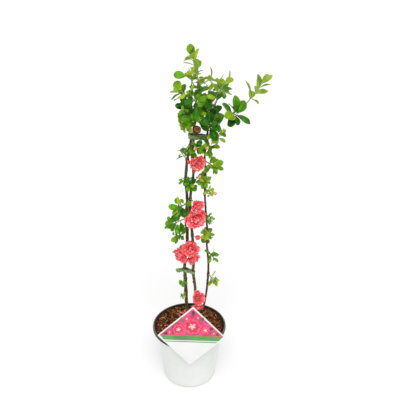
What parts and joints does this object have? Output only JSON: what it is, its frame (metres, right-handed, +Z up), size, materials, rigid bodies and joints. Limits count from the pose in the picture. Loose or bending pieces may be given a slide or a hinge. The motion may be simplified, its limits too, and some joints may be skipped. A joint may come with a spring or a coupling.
{
  "type": "potted flowering quince",
  "caption": "Flowering quince shrub in a round nursery pot: upright stems tied together, leafy crown leaning right, double coral blossom along the stems, square picture card on the rim.",
  "frame": {"origin": "centre of the pot's flat underside", "axes": "+Z up, +X to the right and +Y to the back as seen from the side where the label card hangs"},
  "size_m": [0.2758, 0.1955, 0.8806],
  "materials": {
    "pot": "pale moulded plastic outside, black flange and inside",
    "soil": "moist bark-chip growing mix",
    "card": "satin printed plastic card",
    "bark": "brown bark with pale lenticels",
    "tape": "soft green tying tape",
    "blossom": "velvety double coral-red petals",
    "foliage": "glossy green leaves, lime when young"
  },
  "bodies": {
    "root": {"pot": "pot", "soil": "soil", "label_card": "card", "tie_lower": "tape", "tie_upper": "tape", "stem_left": "bark", "stem_middle": "bark", "stem_right": "bark", "bough_top": "bark", "bough_right": "bark", "pruned_stub": "bark", "bough_left": "bark", "bough_back": "bark", "bough_back_right": "bark", "bloom_high": "blossom", "bloom_upper": "blossom", "bloom_main": "blossom", "bloom_cluster": "blossom", "bloom_foot": "blossom", "bloom_back": "blossom", "leaves_leader_left": "foliage", "leaves_leader": "foliage", "leaves_left_high": "foliage", "leaves_arch": "foliage", "leaves_upright": "foliage", "leaves_bough_node": "foliage", "leaves_bough_tip": "foliage", "leaves_front_low": "foliage", "leaves_right_big": "foliage", "leaves_right_dark": "foliage", "leaves_front_high": "foliage", "leaves_left_mid": "foliage", "leaves_low_left": "foliage", "leaves_right_droop": "foliage", "leaves_back_high": "foliage", "leaves_back_mid": "foliage", "leaves_back_low": "foliage", "leaves_back_right": "foliage", "leaves_back_side": "foliage", "leaves_back_top": "foliage", "leaves_under_right": "foliage", "leaves_under_front": "foliage", "leaves_under_left": "foliage", "leaves_round_right": "foliage", "leaves_small_left": "foliage", "leaves_between": "foliage", "spur_right_high": "foliage", "spur_right_bud": "foliage", "leaves_left_upper": "foliage", "leaves_left_lower": "foliage", "leaves_left_foot": "foliage", "spur_right_mid": "foliage", "spur_right_low": "foliage", "spur_right_curl": "foliage", "spur_right_spray": "foliage", "spur_left_low": "foliage", "spur_left_foot": "foliage", "leaves_back_column": "foliage", "leaves_back_middle": "foliage", "spur_back_low": "foliage"}
  },
  "joints": []
}
